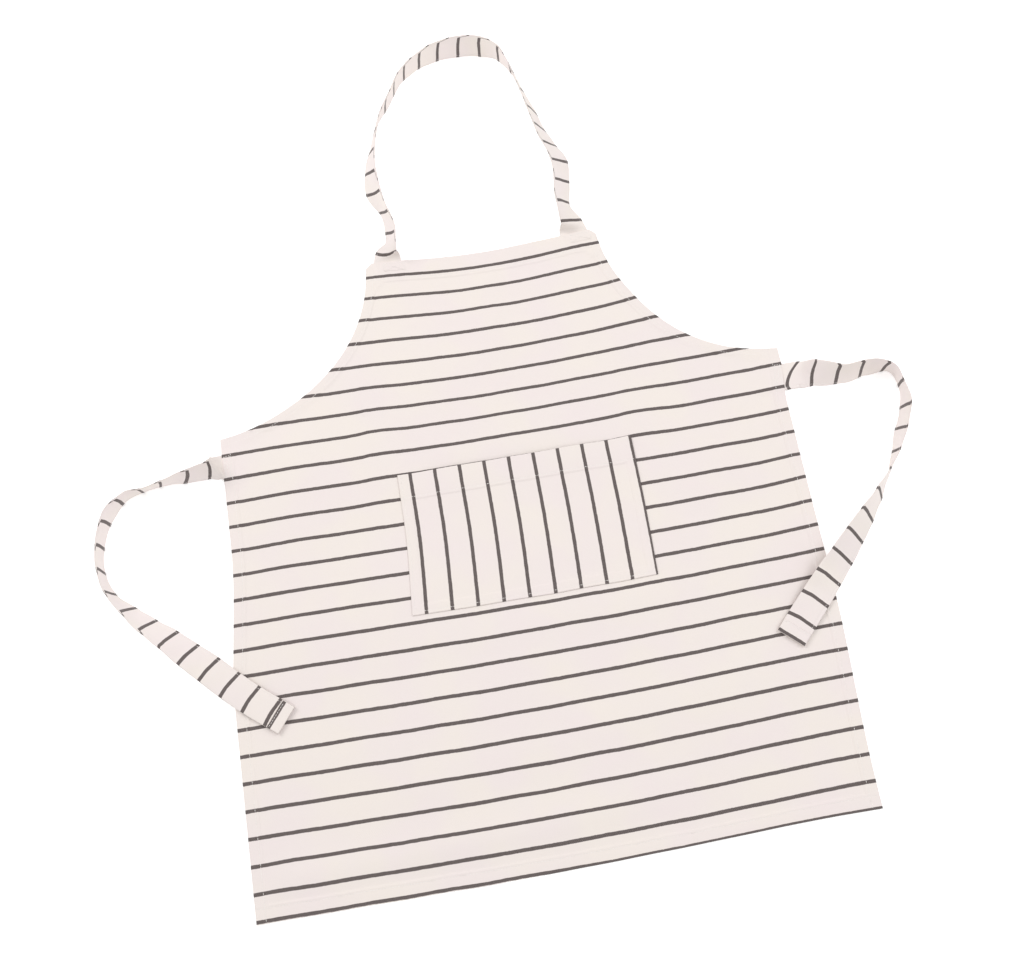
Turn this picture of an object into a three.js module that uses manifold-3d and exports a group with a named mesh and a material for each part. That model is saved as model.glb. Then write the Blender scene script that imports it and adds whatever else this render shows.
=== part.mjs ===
// A cloth bib apron lying flat, front side up: body panel, pocket, neck loop and two waist ties.
//
// Frame: millimetres. X points to the right of the apron, Y up towards the bib, Z out of the front.
// The origin is on the underside of the body panel, on its centre line, in the middle of the skirt.
// Cloth is drawn about twice as thick as it is, and sewn layers keep a small gap.

import * as THREE from 'three';
import { mergeVertices } from 'three/addons/utils/BufferGeometryUtils.js';
import Module from 'manifold-3d';

const wasm = await Module();
wasm.setup();

// ---- Driving dimensions -------------------------------------------------------------------------

const CLOTH = 0.8; // one layer of cloth
const HEM_LAYER = 1.2; // the folded layers under a hem, and a folded strap
const GAP = 0.3; // clearance between pieces that touch
const RAISED = HEM_LAYER + GAP; // underside of the body panel above its hems
const TOP = RAISED + CLOTH; // top of the body panel above its hems
const WALL = 1.6; // run of the step between the raised edge and the flat middle

const BOTTOM_Y = -361;
const WAIST_Y = 161;
const BIB_TOP_Y = 355.5;
const WAIST_HALF = 326;
const BOTTOM_HALF = 323;
const BIB_HALF = 140;
const CORNER = 7; // chamfer at the bib's top corners
const ARMHOLE = { x: 345, y: 360, a: 205, b: 200 }; // ellipse that each armhole follows
const ARMHOLE_STEPS = 14;

const SIDE_HEM = 12;
const BOTTOM_HEM = 12;
const BIB_HEM = 26;
const ARMHOLE_HEM = 10;

const POCKET = { left: -135, right: 135, bottom: -76, mouth: 85 };
const POCKET_ROOM = 4.6; // height kept open inside the pocket
const POCKET_EDGE = 10; // turned-in edge that stands on the body panel
const POCKET_HEM = 29;
const POCKET_SEAM_IN = 3.3; // the pocket's stitches lie this far from its edge

const STRAP_W = 32.6;
const STRAP_T = HEM_LAYER;
const NECK_SEWN_IN = 16; // length of neck strap that is sewn behind the bib
const TIE_SEWN_IN = 26; // length of waist tie that is sewn behind the skirt
const NECK_X = { left: -106, right: 121 };
const TIE_Y = 127;
const AXIS_OUT = 2; // the neck loop folds about a line this far above the bib's edge
const FOLD_GAP = 0.4;
const TIE_FLAP = { length: 15, sideIn: 1, endIn: 0.5 }; // the folded end of a tie
const SWEEP_STEPS = { neck: 120, tie: 90 };

const THREAD = { w: 0.7, t: 0.4 };
const STITCH_IN = 2; // a stitch line lies this far from the inner edge of its hem
const SEAM_SHORT = 4; // the side seams stop this far short of the corners
const BIB_SEAM_HALF = 131; // half the length of the stitch line across the bib
const TACK = { in: 4, near: 3, farNeck: 10, farTie: 8.6 }; // the stitched box over a strap end
const PAST = 9; // cutting blocks reach this far past the outline

// ---- Helpers ------------------------------------------------------------------------------------

const cloth = new THREE.MeshStandardMaterial({ color: 0xf4ece6, roughness: 0.9, metalness: 0 });
const seamCloth = new THREE.MeshStandardMaterial({ color: 0xe9dfd6, roughness: 0.9, metalness: 0 });
const threadCotton = new THREE.MeshStandardMaterial({ color: 0xfaf7f2, roughness: 0.7, metalness: 0 });

const apron = new THREE.Group();

function addPiece(name, geometry, material) {
  const mesh = new THREE.Mesh(geometry, material);
  mesh.name = name;
  apron.add(mesh);
}

// Closed solid between two heights, from an outline of [x, y] points.
function slab(points, low, high) {
  const shape = new THREE.Shape(points.map(([x, y]) => new THREE.Vector2(x, y)));
  const geometry = new THREE.ExtrudeGeometry(shape, { depth: high - low, bevelEnabled: false });
  geometry.translate(0, 0, low);
  return geometry;
}

function rectangle(x0, y0, x1, y1) {
  return [[x0, y0], [x1, y0], [x1, y1], [x0, y1]];
}

function toManifold(geometry) {
  const bare = geometry.clone();
  bare.deleteAttribute('normal');
  bare.deleteAttribute('uv');
  const merged = mergeVertices(bare, 1e-4);
  const vertProperties = new Float32Array(merged.attributes.position.array);
  const triVerts = new Uint32Array(merged.index.array);
  return new wasm.Manifold(new wasm.Mesh({ numProp: 3, vertProperties, triVerts }));
}

function toGeometry(manifold) {
  const mesh = manifold.getMesh();
  const geometry = new THREE.BufferGeometry();
  geometry.setAttribute('position', new THREE.BufferAttribute(mesh.vertProperties, 3));
  geometry.setIndex(new THREE.BufferAttribute(mesh.triVerts, 1));
  geometry.computeVertexNormals();
  return geometry;
}

function cut(geometry, ...cutters) {
  return cutters.reduce((solid, cutter) => solid.subtract(toManifold(cutter)), toManifold(geometry));
}

const smooth = (t) => THREE.MathUtils.smoothstep(t, 0, 1);
const mirror = ([x, y]) => [-x, y];

// ---- Body panel and its hems --------------------------------------------------------------------

// The right-hand half of the apron's edge, from the bottom hem up to the bib, pulled in by a hem's
// width on each stretch.
function rightEdge(side, bottom, armhole, bib) {
  const a = ARMHOLE.a + armhole;
  const b = ARMHOLE.b + armhole;
  const topY = BIB_TOP_Y - bib;
  const lean = (WAIST_HALF - BOTTOM_HALF) / (WAIST_Y - BOTTOM_Y);
  const sideX = (y) => WAIST_HALF - side - lean * (WAIST_Y - y);
  const start = Math.asin((ARMHOLE.x - sideX(WAIST_Y)) / a);
  const end = Math.acos((ARMHOLE.y - topY) / b);
  const points = [[sideX(BOTTOM_Y + bottom), BOTTOM_Y + bottom]];
  for (let i = 0; i <= ARMHOLE_STEPS; i += 1) {
    const angle = start + ((end - start) * i) / ARMHOLE_STEPS;
    points.push([ARMHOLE.x - a * Math.sin(angle), ARMHOLE.y - b * Math.cos(angle)]);
  }
  return points;
}

function wholeEdge(half) {
  return [...half, ...half.map(mirror).reverse()];
}

// The outer edge, with the bib's two top corners cut off.
function outerHalf() {
  const half = rightEdge(0, 0, 0, 0);
  const tip = half.pop();
  const below = half[half.length - 1];
  const slope = (tip[0] - below[0]) / (tip[1] - below[1]);
  half.push([tip[0] - slope * CORNER, tip[1] - CORNER]);
  half.push([tip[0] - CORNER, tip[1]]);
  return half;
}

// Where the four strap ends lie behind the cloth: [x0, y0, x1, y1].
const neckEnds = Object.entries(NECK_X).map(([side, x]) => ({
  name: `neck_strap_end_${side}`,
  tack: `neck_tack_${side}`,
  box: [x - STRAP_W / 2, BIB_TOP_Y - NECK_SEWN_IN, x + STRAP_W / 2, BIB_TOP_Y + AXIS_OUT - FOLD_GAP],
}));
const tieEnds = [-1, 1].map((sign) => {
  const inner = sign * (WAIST_HALF - TIE_SEWN_IN);
  const outer = sign * (WAIST_HALF + GAP);
  const side = sign < 0 ? 'left' : 'right';
  return {
    name: `${side}_tie_sewn_end`,
    tack: `${side}_tie_tack`,
    box: [Math.min(inner, outer), TIE_Y - STRAP_W / 2, Math.max(inner, outer), TIE_Y + STRAP_W / 2],
  };
});
const sewnEnds = [...neckEnds, ...tieEnds];

function grown([x0, y0, x1, y1], by) {
  return rectangle(x0 - by, y0 - by, x1 + by, y1 + by);
}

function buildBody() {
  const hemLine = wholeEdge(rightEdge(SIDE_HEM + GAP, BOTTOM_HEM + GAP, ARMHOLE_HEM + GAP, BIB_HEM + GAP));
  const flatLine = wholeEdge(
    rightEdge(SIDE_HEM + WALL, BOTTOM_HEM + WALL, ARMHOLE_HEM + WALL, BIB_HEM + WALL),
  );
  const body = slab(wholeEdge(outerHalf()), 0, TOP);

  // The flat middle is thin, except over the strap ends.
  const above = sewnEnds.reduce(
    (space, end) => space.subtract(toManifold(slab(grown(end.box, WALL), -1, TOP + 2))),
    toManifold(slab(flatLine, CLOTH, TOP + 1)),
  );

  // Room under the raised edge for the hems, and under it for the strap ends.
  const outside = slab(
    rectangle(-WAIST_HALF - PAST, BOTTOM_Y - PAST, WAIST_HALF + PAST, BIB_TOP_Y + PAST),
    -1,
    RAISED,
  );
  let below = cut(outside, slab(hemLine, -2, RAISED + 1));
  for (const end of sewnEnds) {
    below = below.add(toManifold(slab(grown(end.box, GAP), -1, RAISED)));
  }
  const solid = toManifold(body).subtract(above).subtract(below);
  addPiece('body_panel', toGeometry(solid), cloth);
}

// A strip of folded cloth under the edge, between an outer and an inner line, clear of the strap ends.
function hemStrip(name, outline) {
  const cutters = sewnEnds.map((end) => slab(grown(end.box, GAP), -1, RAISED + 1));
  addPiece(name, toGeometry(cut(slab(outline, 0, HEM_LAYER), ...cutters)), seamCloth);
}

function buildHems() {
  const outer = rightEdge(0, 0, 0, 0);
  const inner = rightEdge(SIDE_HEM, BOTTOM_HEM, ARMHOLE_HEM, BIB_HEM);
  const last = outer.length - 1;
  const tieTop = TIE_Y + STRAP_W / 2 + GAP;
  const tieBottom = TIE_Y - STRAP_W / 2 - GAP;
  const bottomTop = BOTTOM_Y + BOTTOM_HEM;
  const bibBottom = BIB_TOP_Y - BIB_HEM;
  const mirrored = { left: mirror, right: (point) => point };

  for (const [side, turn] of Object.entries(mirrored)) {
    const sideStrip = [
      [inner[0][0], bottomTop + GAP],
      [outer[0][0], bottomTop + GAP],
      [outer[1][0], tieBottom],
      [inner[1][0], tieBottom],
    ];
    hemStrip(`${side}_side_hem`, sideStrip.map(turn));

    // The armhole strip starts just above the tie, turns the waist corner and follows the curve up
    // to just under the bib hem.
    const belowBib = ([, y]) => y < bibBottom - GAP;
    const armholeStrip = [
      [outer[1][0], tieTop],
      ...outer.slice(1).filter(belowBib),
      ...inner.slice(1).filter(belowBib).reverse(),
      [inner[1][0], tieTop],
    ];
    hemStrip(`${side}_armhole_hem`, armholeStrip.map(turn));
  }

  const bottomStrip = [
    [outer[0][0], BOTTOM_Y],
    [outer[0][0], bottomTop],
    [-outer[0][0], bottomTop],
    [-outer[0][0], BOTTOM_Y],
  ];
  hemStrip('bottom_hem', bottomStrip);

  const bibWide = outer[last][0] - CORNER;
  hemStrip('bib_top_hem', rectangle(-bibWide, bibBottom, bibWide, BIB_TOP_Y));
}

// ---- Pocket -------------------------------------------------------------------------------------

function buildPocket() {
  const { left, right, bottom, mouth } = POCKET;
  const base = CLOTH + GAP;
  const hemLow = CLOTH + POCKET_ROOM;
  const hemHigh = hemLow + CLOTH;
  const panelLow = hemHigh + GAP;
  const panelHigh = panelLow + CLOTH;

  const inside = rectangle(left + POCKET_EDGE, bottom + POCKET_EDGE, right - POCKET_EDGE, mouth + 1);
  const shell = cut(slab(rectangle(left, bottom, right, mouth), base, panelHigh), slab(inside, 0, panelLow));
  addPiece('pocket_panel', toGeometry(shell), cloth);

  const hem = rectangle(
    left + POCKET_EDGE + GAP,
    mouth - POCKET_HEM,
    right - POCKET_EDGE - GAP,
    mouth,
  );
  addPiece('pocket_mouth_hem', slab(hem, hemLow, hemHigh), seamCloth);

  const high = panelHigh + GAP;
  const inset = POCKET_SEAM_IN;
  const seam = [
    [left + inset, mouth - 1],
    [left + inset, bottom + inset],
    [right - inset, bottom + inset],
    [right - inset, mouth - 1],
  ];
  addPiece('pocket_thread', threadLine(seam, high), threadCotton);
  const mouthLine = [
    [left + POCKET_EDGE, mouth - POCKET_HEM + STITCH_IN],
    [right - POCKET_EDGE, mouth - POCKET_HEM + STITCH_IN],
  ];
  addPiece('pocket_mouth_thread', threadLine(mouthLine, high), threadCotton);
}

// ---- Thread -------------------------------------------------------------------------------------

// A thin flat band of thread along a line of points, lying at one height.
function threadLine(points, low) {
  const sides = [1, -1].map((sign) => points.map((point, i) => {
    const before = points[Math.max(0, i - 1)];
    const after = points[Math.min(points.length - 1, i + 1)];
    const a = new THREE.Vector2(point[0] - before[0], point[1] - before[1]).normalize();
    const b = new THREE.Vector2(after[0] - point[0], after[1] - point[1]).normalize();
    const along = a.clone().add(b).normalize();
    const turn = a.lengthSq() && b.lengthSq() ? Math.abs(along.dot(b)) : 1;
    const reach = (sign * THREAD.w) / 2 / turn;
    return [point[0] - along.y * reach, point[1] + along.x * reach];
  }));
  return slab([...sides[0], ...sides[1].reverse()], low, low + THREAD.t);
}

function buildThreads() {
  const high = TOP + GAP;
  const line = rightEdge(
    SIDE_HEM - STITCH_IN,
    BOTTOM_HEM - STITCH_IN,
    ARMHOLE_HEM - STITCH_IN,
    BIB_HEM - STITCH_IN,
  );
  const armholeTop = BIB_TOP_Y - BIB_HEM;
  const curve = line.slice(1).filter(([, y]) => y < armholeTop);
  for (const [side, turn] of [['left', mirror], ['right', (point) => point]]) {
    const sideLine = [
      [line[0][0], line[0][1] + SEAM_SHORT],
      [line[1][0], WAIST_Y - ARMHOLE_HEM - SEAM_SHORT],
    ];
    addPiece(`${side}_side_thread`, threadLine(sideLine.map(turn), high), threadCotton);
    addPiece(`${side}_armhole_thread`, threadLine(curve.map(turn), high), threadCotton);
  }
  const bottomLine = [[-line[0][0], line[0][1]], line[0]];
  addPiece('bottom_thread', threadLine(bottomLine, high), threadCotton);
  const bibSeamY = armholeTop + STITCH_IN;
  const bibLine = [[-BIB_SEAM_HALF, bibSeamY], [BIB_SEAM_HALF, bibSeamY]];
  addPiece('bib_top_thread', threadLine(bibLine, high), threadCotton);
}

// A closed rectangle of thread.
function threadBox(x0, y0, x1, y1, low) {
  const within = rectangle(x0 + THREAD.w, y0 + THREAD.w, x1 - THREAD.w, y1 - THREAD.w);
  const outer = slab(rectangle(x0, y0, x1, y1), low, low + THREAD.t);
  return toGeometry(cut(outer, slab(within, low - 1, low + THREAD.t + 1)));
}

// The strap ends behind the cloth, and a stitched box over each.
function buildSewnEnds() {
  for (const end of sewnEnds) {
    addPiece(end.name, slab(rectangle(...end.box), 0, STRAP_T), cloth);
  }
  const high = TOP + GAP;
  for (const end of neckEnds) {
    const x0 = end.box[0] + TACK.in;
    const x1 = end.box[2] - TACK.in;
    const box = threadBox(x0, BIB_TOP_Y - TACK.farNeck, x1, BIB_TOP_Y - TACK.near, high);
    addPiece(end.tack, box, threadCotton);
  }
  for (const end of tieEnds) {
    const sign = Math.sign(end.box[0]);
    const near = sign * (WAIST_HALF - TACK.near);
    const far = sign * (WAIST_HALF - TACK.farTie);
    const y0 = end.box[1] + TACK.in;
    const y1 = end.box[3] - TACK.in;
    addPiece(end.tack, threadBox(Math.min(near, far), y0, Math.max(near, far), y1, high), threadCotton);
  }
}

// ---- Straps -------------------------------------------------------------------------------------

// Each strap stands on one long edge for most of its way. A station says where its middle lies (x, y),
// how far it leans from flat (degrees, 90 is upright, more is past upright) and how high its lower
// edge is. The raised edge lies to the right of the direction of travel when `raised` is 1, and to the
// left of it when -1.
function ribbon(stations, raised, steps, width = STRAP_W, thickness = STRAP_T) {
  const path = new THREE.CatmullRomCurve3(
    stations.map(([x, y]) => new THREE.Vector3(x, y, 0)),
    false,
    'centripetal',
  );
  const last = stations.length - 1;
  const positions = [];
  const between = (index, t) => {
    const i = Math.min(last - 1, Math.floor(t * last));
    return THREE.MathUtils.lerp(stations[i][index], stations[i + 1][index], smooth(t * last - i));
  };
  for (let step = 0; step <= steps; step += 1) {
    const t = step / steps;
    const point = path.getPoint(t);
    const along = path.getTangent(t);
    const lean = THREE.MathUtils.degToRad(between(2, t));
    const across = new THREE.Vector3(along.y, -along.x, 0).multiplyScalar(raised * Math.cos(lean));
    across.z = Math.sin(lean);
    const out = new THREE.Vector3().crossVectors(across, along).normalize();
    const floor = between(3, t) + (thickness / 2) * Math.abs(Math.cos(lean));
    const middle = point.clone().setZ(floor + (width / 2) * Math.abs(Math.sin(lean)));
    for (const [u, v] of [[-1, -1], [1, -1], [1, 1], [-1, 1]]) {
      const corner = middle.clone();
      corner.addScaledVector(across, (u * width) / 2);
      corner.addScaledVector(out, (v * thickness) / 2);
      positions.push(corner.x, corner.y, corner.z);
    }
  }
  const index = [];
  const quad = (a, b, c, d) => index.push(a, b, c, a, c, d);
  for (let step = 0; step < steps; step += 1) {
    for (let k = 0; k < 4; k += 1) {
      const a = step * 4 + k;
      const b = step * 4 + ((k + 1) % 4);
      quad(a, b, b + 4, a + 4);
    }
  }
  quad(3, 2, 1, 0);
  const end = steps * 4;
  quad(end, end + 1, end + 2, end + 3);
  const geometry = new THREE.BufferGeometry();
  geometry.setAttribute('position', new THREE.Float32BufferAttribute(positions, 3));
  geometry.setIndex(index);
  return outwards(geometry);
}

// Faces turned outward, whichever way round the strap was swept.
function outwards(geometry) {
  const position = geometry.attributes.position;
  const index = geometry.index.array;
  const [a, b, c] = [0, 1, 2].map(() => new THREE.Vector3());
  let volume = 0;
  for (let i = 0; i < index.length; i += 3) {
    a.fromBufferAttribute(position, index[i]);
    b.fromBufferAttribute(position, index[i + 1]);
    c.fromBufferAttribute(position, index[i + 2]);
    volume += a.dot(b.cross(c));
  }
  if (volume < 0) {
    for (let i = 0; i < index.length; i += 3) {
      [index[i], index[i + 1]] = [index[i + 1], index[i]];
    }
  }
  geometry.computeVertexNormals();
  return geometry;
}

// [x, y, lean, height of lower edge]
const NECK_START = BIB_TOP_Y + AXIS_OUT + FOLD_GAP;
const neckStations = [
  [NECK_X.left, NECK_START, 0, 0],
  [NECK_X.left, NECK_START + 5, 6, 0],
  [-97, 384, 54, 0],
  [-101, 418, 77, 2],
  [-110, 449, 55, 6],
  [-108, 482, 63, 8],
  [-100, 512, 71, 6],
  [-90, 544, 77, 4],
  [-73, 572, 83, 3],
  [-57, 600, 84, 2],
  [-37, 619, 87, 0],
  [-9, 632, 95, 0],
  [22, 636, 102, 0],
  [48, 632, 101, 0],
  [70, 617, 89, 2],
  [82, 592, 79, 2],
  [90, 562, 72, 1],
  [98, 532, 64, 0],
  [103, 504, 60, 2],
  [110, 478, 52, 4],
  [119, 451, 44, 6],
  [118, 422, 53, 3],
  [116, 393, 50, 0],
  [NECK_X.right, NECK_START + 5, 6, 0],
  [NECK_X.right, NECK_START, 0, 0],
];

const OVER = TOP + GAP + THREAD.t + GAP; // height at which a tie lies on the skirt's stitched edge
const TIE_START = WAIST_HALF + STRAP_W / 2 + 2 * GAP; // the ties turn about this place beside the waist
const leftTieStations = [
  [-TIE_START, TIE_Y, 0, 0],
  [-365, 121, 82, 0],
  [-388, 117, 101, 0],
  [-411, 113, 104, 0],
  [-433, 109, 96, 0],
  [-454, 90, 88, 0],
  [-465, 61, 92, 0],
  [-467, 30, 92, 0],
  [-458, 0, 83, 0],
  [-439, -23, 64, 0],
  [-420, -43, 50, 0.4],
  [-400, -61, 38, 1.5],
  [-381, -80, 26, 2.4],
  [-362, -98, 14, OVER],
  [-342, -118, 5, OVER],
  [-319, -139, 0, OVER],
  [-284, -167, 0, OVER],
];
const rightTieStations = [
  [TIE_START, TIE_Y, 0, 0],
  [362, 120, 51, 0],
  [390, 113, 72, 0],
  [418, 116, 78, 0],
  [444, 110, 98, 0],
  [449, 90, 98, 0],
  [447, 64, 83, 0],
  [435, 38, 78, 0],
  [422, 12, 86, 0],
  [406, -13, 100, 0],
  [388, -36, 114, 0.2],
  [370, -56, 128, 0.8],
  [351, -76, 140, 1.6],
  [332, -96, 150, 2.4],
  [315, -113, 160, OVER],
  [298, -131, 172, OVER],
  [273, -157, 180, OVER],
  [260, -171, 180, OVER],
];

// A disc at the start of a tie, about the line that it swings on.
function roundStart(sign) {
  const disc = new THREE.CylinderGeometry(STRAP_W / 2, STRAP_W / 2, STRAP_T, 32);
  disc.rotateX(Math.PI / 2);
  disc.translate(sign * TIE_START, TIE_Y, STRAP_T / 2);
  return disc;
}

// The folded end of a tie: a short flap under its last stretch, and the stitches over it.
function tieEnd(side, stations) {
  const [x1, y1] = stations[stations.length - 1];
  const [x0, y0] = stations[stations.length - 2];
  const along = new THREE.Vector2(x1 - x0, y1 - y0).normalize();
  const flap = TIE_FLAP.length;
  const place = (geometry) => {
    geometry.rotateZ(Math.atan2(along.y, along.x));
    geometry.translate(x1, y1, 0);
    return geometry;
  };
  const lowest = OVER + STRAP_T + GAP;
  const half = STRAP_W / 2;
  const reach = half - TIE_FLAP.sideIn;
  const fold = slab(rectangle(-flap, -reach, -TIE_FLAP.endIn, reach), lowest, lowest + CLOTH);
  addPiece(`${side}_tie_end_fold`, place(fold), seamCloth);
  const high = lowest + CLOTH + GAP;
  const stitch = slab(
    rectangle(-flap + STITCH_IN, 1 - reach, -flap + STITCH_IN + THREAD.w, reach - 1),
    high,
    high + THREAD.t,
  );
  addPiece(`${side}_tie_end_thread`, place(stitch), threadCotton);
}

function buildStraps() {
  addPiece('neck_strap', ribbon(neckStations, 1, SWEEP_STEPS.neck), cloth);
  const ties = [
    ['left', leftTieStations, 1, -1],
    ['right', rightTieStations, -1, 1],
  ];
  for (const [side, stations, raised, sign] of ties) {
    const strip = toManifold(ribbon(stations, raised, SWEEP_STEPS.tie));
    addPiece(`${side}_tie`, toGeometry(strip.add(toManifold(roundStart(sign)))), cloth);
    tieEnd(side, stations);
  }
}

buildBody();
buildHems();
buildPocket();
buildThreads();
buildSewnEnds();
buildStraps();

export default apron;
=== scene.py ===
# Looks for a cloth bib apron lying flat: striped twill, hems, stitches, pocket and folded straps.
#
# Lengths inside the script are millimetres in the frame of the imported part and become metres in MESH.
# Each cloth piece is drawn on its own flat pattern first, and then laid down with small folds and waves.

import math

import bpy
import numpy as np
from mathutils import Matrix, Vector


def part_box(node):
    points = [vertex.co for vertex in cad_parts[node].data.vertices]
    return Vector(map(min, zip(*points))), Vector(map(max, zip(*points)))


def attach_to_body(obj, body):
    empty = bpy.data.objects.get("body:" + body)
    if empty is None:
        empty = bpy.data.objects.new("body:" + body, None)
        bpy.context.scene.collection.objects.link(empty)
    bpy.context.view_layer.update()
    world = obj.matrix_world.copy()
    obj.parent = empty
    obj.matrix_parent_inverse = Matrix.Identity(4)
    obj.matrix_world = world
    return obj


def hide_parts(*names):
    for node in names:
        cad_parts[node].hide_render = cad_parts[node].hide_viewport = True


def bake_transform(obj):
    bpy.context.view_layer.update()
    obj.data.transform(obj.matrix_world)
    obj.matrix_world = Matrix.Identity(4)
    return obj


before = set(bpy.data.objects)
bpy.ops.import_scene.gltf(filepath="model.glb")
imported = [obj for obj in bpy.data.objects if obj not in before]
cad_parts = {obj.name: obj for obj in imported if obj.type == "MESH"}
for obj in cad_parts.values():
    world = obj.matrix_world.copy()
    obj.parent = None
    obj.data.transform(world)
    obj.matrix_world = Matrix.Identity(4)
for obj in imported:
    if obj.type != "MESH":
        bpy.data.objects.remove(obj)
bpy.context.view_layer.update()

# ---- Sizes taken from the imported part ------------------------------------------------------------


def box_mm(node):
    low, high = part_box(node)
    return np.array(low) * 1000, np.array(high) * 1000


body_low, body_high = box_mm("body_panel")
pocket_low, pocket_high = box_mm("pocket_panel")
mouth_low, mouth_high = box_mm("pocket_mouth_hem")
bib_hem_low = box_mm("bib_top_hem")[0]
bottom_hem_high = box_mm("bottom_hem")[1]

FOLD_PAST = 5.6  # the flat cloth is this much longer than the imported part, drawn up at its bottom
BOTTOM = body_low[1] - FOLD_PAST
BIB_TOP = body_high[1]
WAIST_HALF = body_high[0]
BOTTOM_HALF = bottom_hem_high[0]
BIB_HALF = 140
BIB_CORNER = 7
WAIST = 161
ARM_X, ARM_Y, ARM_A, ARM_B = 345, 360, 205, 200  # the ellipse that each armhole follows

BIB_HEM = BIB_TOP - bib_hem_low[1]
BOTTOM_HEM = bottom_hem_high[1] - BOTTOM
SIDE_HEM = 12
ARM_HEM = 10
POCKET_EDGE = 10
MOUTH_HEM = mouth_high[1] - mouth_low[1]

# ---- Cloth ---------------------------------------------------------------------------------------

CLOTH = 0.6  # one layer
HEM_LAYER = 0.9  # folded layers under a hem
REST = 0.3  # the cloth's underside above the floor
FLAT = REST + CLOTH / 2  # middle of the cloth where it is one layer
ON_HEM = FLAT + HEM_LAYER + 0.1  # middle of the cloth over a hem
CURL = 0.9  # radius of a folded edge
STITCH_IN = 2  # a hem's stitches lie this far from its inner edge
STITCH = 2.4
STITCH_GAP = 0.8
THREAD = 0.27  # radius
STRIPE_PITCH = 28
STRAP_WIDTH = 32.6
STRAP_THICK = 1.5

rng = np.random.default_rng(7)


def smooth(t):
    t = np.clip(t, 0, 1)
    return t * t * (3 - 2 * t)


def bump(d, width):
    return np.exp(-((d / width) ** 2))


def waves(x, y, length, seed, count=7):
    """Gentle irregular waves of about one wavelength, from -1 to 1."""
    draw = np.random.default_rng(seed)
    total = 0
    for _ in range(count):
        turn = draw.uniform(0, math.pi)
        k = 2 * math.pi / (length * draw.uniform(0.7, 1.4))
        total = total + np.sin(k * (x * math.cos(turn) + y * math.sin(turn)) + draw.uniform(0, 6.28))
    return total / count * 1.4


# ---- Outline of the body panel -------------------------------------------------------------------


def half_width(y):
    """Half the width of the body panel at height y on the pattern."""
    y = np.asarray(y, float)
    skirt = WAIST_HALF - (WAIST_HALF - BOTTOM_HALF) * (WAIST - y) / (WAIST - BOTTOM)
    c = np.clip((ARM_Y - y) / ARM_B, 0, 1)
    arm = ARM_X - ARM_A * np.sqrt(1 - c * c)
    bib = arm - np.clip(y - (BIB_TOP - BIB_CORNER), 0, BIB_CORNER)
    return np.where(y <= WAIST, skirt, np.minimum(bib, skirt))


def edge_distances(x, y):
    """How far a point lies inside the side, bottom, bib and armhole edges."""
    side = half_width(np.minimum(y, WAIST)) - np.abs(x)
    bottom = y - BOTTOM
    bib = BIB_TOP - y
    r = np.hypot((np.abs(x) - ARM_X) / ARM_A, (y - ARM_Y) / ARM_B)
    arm = (r - 1) * (ARM_A + ARM_B) / 2
    corner = (BIB_HALF - np.abs(x) + BIB_TOP - y - BIB_CORNER) / math.sqrt(2)
    return side, bottom, np.minimum(bib, corner), arm


def hem_height(x, y):
    """Height that the hems lift the cloth by, from 0 to 1, and the stitch groove."""
    side, bottom, bib, arm = edge_distances(x, y)
    lift = 0
    groove = 0
    for d, width in ((side, SIDE_HEM), (bottom, BOTTOM_HEM), (bib, BIB_HEM), (arm, ARM_HEM)):
        lift = np.maximum(lift, 1 - smooth((d - width - 0.2) / 2.6))
        groove = np.maximum(groove, bump(d - width + STITCH_IN, 1.1))
    return lift, groove


def sewn_in(x, y):
    """Extra height over the four strap ends behind the cloth."""
    lift = 0
    for low, high in sewn_boxes:
        dx = np.maximum(low[0] - x, x - high[0])
        dy = np.maximum(low[1] - y, y - high[1])
        lift = np.maximum(lift, 1 - smooth((np.maximum(dx, dy) - 0.3) / 3.5))
    return lift


sewn_nodes = ("neck_strap_end_left", "neck_strap_end_right", "left_tie_sewn_end", "right_tie_sewn_end")
sewn_boxes = [box_mm(name) for name in sewn_nodes]


# ---- How the cloth lies --------------------------------------------------------------------------

# Places where the cloth is drawn up (+) or down (-) the apron: x, y, reach in x, reach in y, amount.
DRAWN = (
    (-10, 335, 100, 90, -9.4),
    (-45, 210, 175, 70, -6.4),
    (315, 145, 80, 55, 2.3),
    (-265, 70, 65, 190, 1.0),
    (330, -310, 150, 260, 5.8),
    (-55, -300, 215, 230, -4.1),
    (80, -65, 175, 90, -1.7),
    (-145, 135, 25, 65, 2.2),
    (150, 115, 35, 40, 2.7),
    (-55, -90, 45, 70, -0.4),
    (340, 0, 45, 95, 3.7),
    (-60, -330, 320, 30, 2.3),
    (0, -378, 420, 24, 6.0),
    (200, -372, 190, 14, 2.2),
    (210, 270, 65, 70, 7.5),
    (-210, 270, 235, 120, 6.7),
)


def drawn(x, y):
    total = 0
    for x0, y0, rx, ry, amount in DRAWN:
        total = total + amount * np.exp(-(((x - x0) / rx) ** 2) - ((y - y0) / ry) ** 2)
    return total + 0.4 * waves(x, y, 62, 41)


def sideways(x, y):
    """The skirt lies drawn to the left lower down, and the bib a little to the right."""
    left = -13 * smooth((30 - y) / 180)
    right = -4.6 * smooth((150 - y) / 60) - 7.5 * smooth((-120 - y) / 220)
    share = np.clip(x / WAIST_HALF / 2 + 0.5, 0, 1)
    bib = 7 * smooth((y - 170) / 110)
    return left * (1 - share) + right * share + bib


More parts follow.
